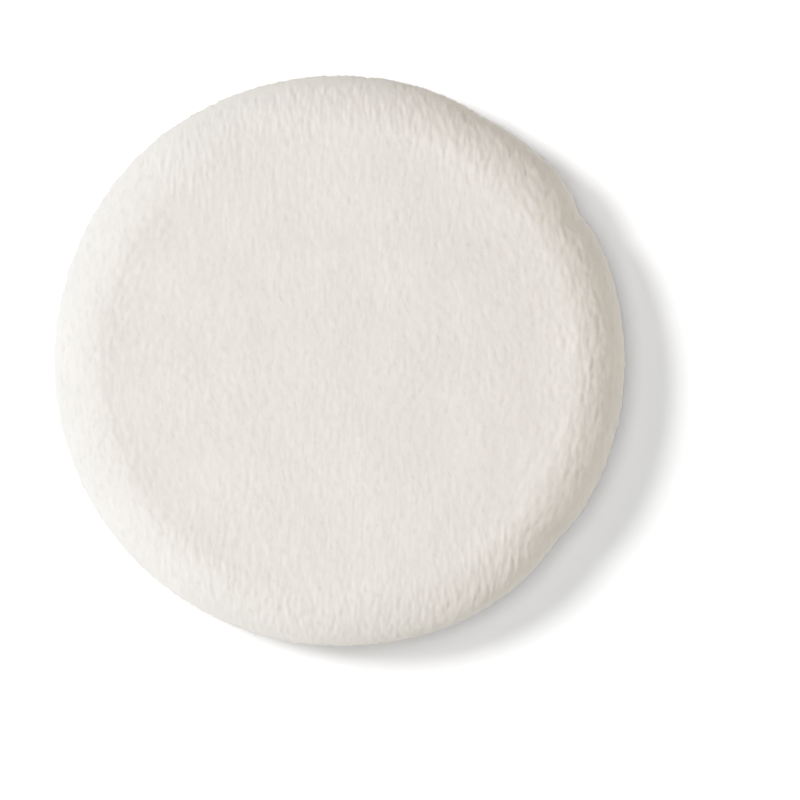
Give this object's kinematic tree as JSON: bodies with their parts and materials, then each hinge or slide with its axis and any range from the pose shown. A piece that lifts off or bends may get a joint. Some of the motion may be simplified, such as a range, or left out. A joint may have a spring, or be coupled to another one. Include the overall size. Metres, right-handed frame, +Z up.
{
  "type": "powder puff",
  "caption": "Round, flat, soft cosmetic puff with a crowned velour face over a foam disc, sewn round the rim, with a ribbon across the back for the fingers, for pressing on face powder.",
  "frame": {"origin": "middle of the flat back, on the surface that the puff lies on", "axes": "+Z up through the face, square to the back; +Y along the ribbon; +X to the right as the picture is seen"},
  "size_m": [0.06, 0.06, 0.012],
  "materials": {
    "velour_front": "white cotton velour with a short brushed nap, matt",
    "velour_back": "white cotton velour with a short brushed nap, matt",
    "foam": "open-cell soft polyurethane foam, matt",
    "sewing_thread": "spun polyester sewing thread, off-white",
    "hand_thread": "twisted cotton thread, off-white",
    "satin_ribbon": "woven satin, plain, softly shiny"
  },
  "bodies": {
    "back_half": {"back_cover": "velour_back", "foam_core": "foam", "needle_thread": "sewing_thread", "bobbin_thread": "sewing_thread", "closing_thread": "hand_thread"},
    "front_half": {"front_cover": "velour_front"},
    "strap": {"finger_ribbon": "satin_ribbon"}
  },
  "joints": [
    {"name": "squeeze", "type": "slide", "parent": "back_half", "child": "front_half", "axis": [0, 0, -1], "range_m": [0, 0.003], "stiffness_N_per_m": 900, "deforming": ["front_cover", "foam_core"]},
    {"name": "strap_lift", "type": "slide", "parent": "back_half", "child": "strap", "axis": [0, 0, -1], "range_m": [0, 0.008], "stiffness_N_per_m": 60, "deforming": ["finger_ribbon"]}
  ]
}
